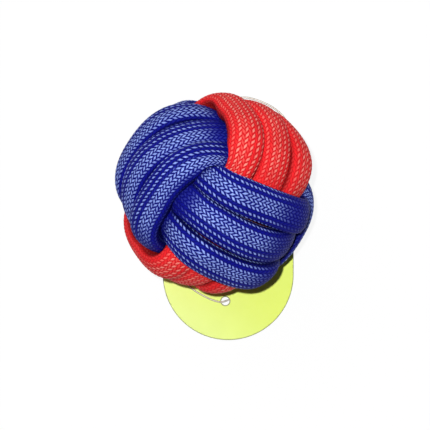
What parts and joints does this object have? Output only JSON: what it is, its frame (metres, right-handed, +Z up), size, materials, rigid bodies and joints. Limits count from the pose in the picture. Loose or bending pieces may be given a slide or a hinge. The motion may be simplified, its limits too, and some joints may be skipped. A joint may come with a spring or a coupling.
{
  "type": "rope ball",
  "caption": "Knotted ball of braided rope, three bands woven over and under round a core, with a blank tag on a thin loop.",
  "frame": {"origin": "under the middle of the ball, in the plane that its flat rests on", "axes": "+Z up from the rest flat, -Y towards the tag, +X to the right as the tag is seen from above with its round end nearest"},
  "size_m": [0.0772, 0.0964, 0.0756],
  "materials": {
    "blue_rope": "matte braid",
    "red_rope": "matte braid",
    "core": "bare wood",
    "loop": "clear nylon",
    "tag": "satin card"
  },
  "bodies": {
    "ball": {"core_ball": "core", "blue_rope_upper": "blue_rope", "blue_rope_lower": "blue_rope", "red_rope": "red_rope", "tag_loop": "loop"},
    "tag": {"hang_tag": "tag"}
  },
  "joints": [
    {"name": "tag_swivel", "type": "hinge", "parent": "ball", "child": "tag", "pos_m": [0.0043, -0.0422, 0.0012], "axis": [0, 0, 1], "range_deg": [-15, 15]}
  ]
}
